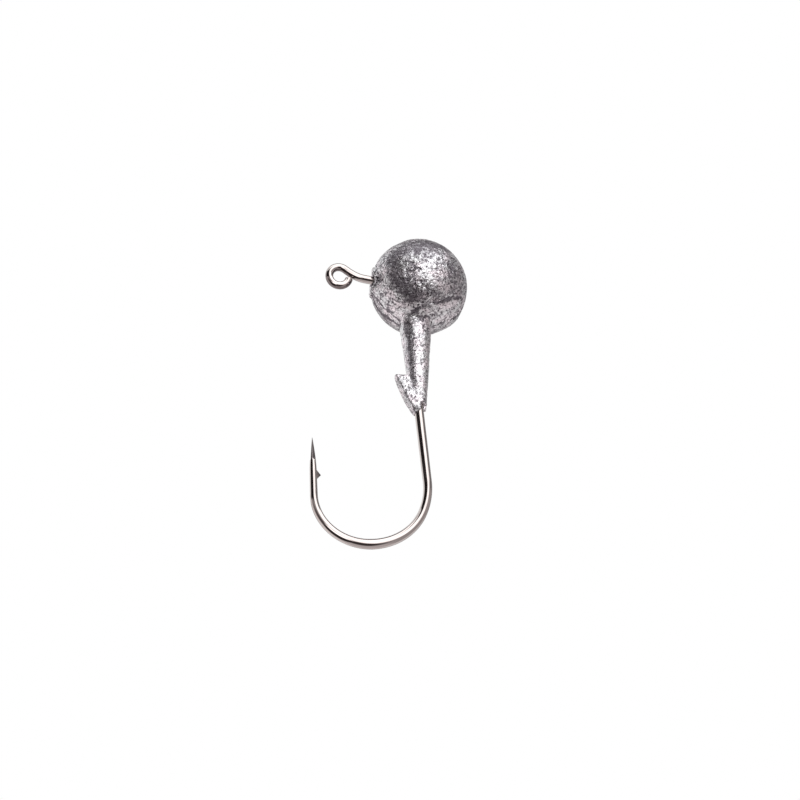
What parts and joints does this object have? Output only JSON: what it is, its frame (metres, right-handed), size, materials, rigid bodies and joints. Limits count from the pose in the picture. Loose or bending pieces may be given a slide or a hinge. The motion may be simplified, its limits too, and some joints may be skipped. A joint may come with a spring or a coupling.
{
  "type": "jig head",
  "caption": "Ball jig head: a cast lead ball with a tapered bait collar and a keeper barb, moulded on a barbed jig hook with a line eye.",
  "frame": {"origin": "centre of the line eye, in the plane of the hook", "axes": "+Z along the shank, from the round bend towards the ball; +X across the hook, from the point towards the shank; Y square to the plane of the hook"},
  "size_m": [0.0183, 0.0102, 0.0355],
  "materials": {
    "cast_lead": "bare cast lead, mottled and slightly pitted, with a soft metallic shine",
    "hook_wire": "polished black nickel plating"
  },
  "bodies": {
    "root": {"lead_head": "cast_lead", "jig_hook": "hook_wire"}
  },
  "joints": []
}
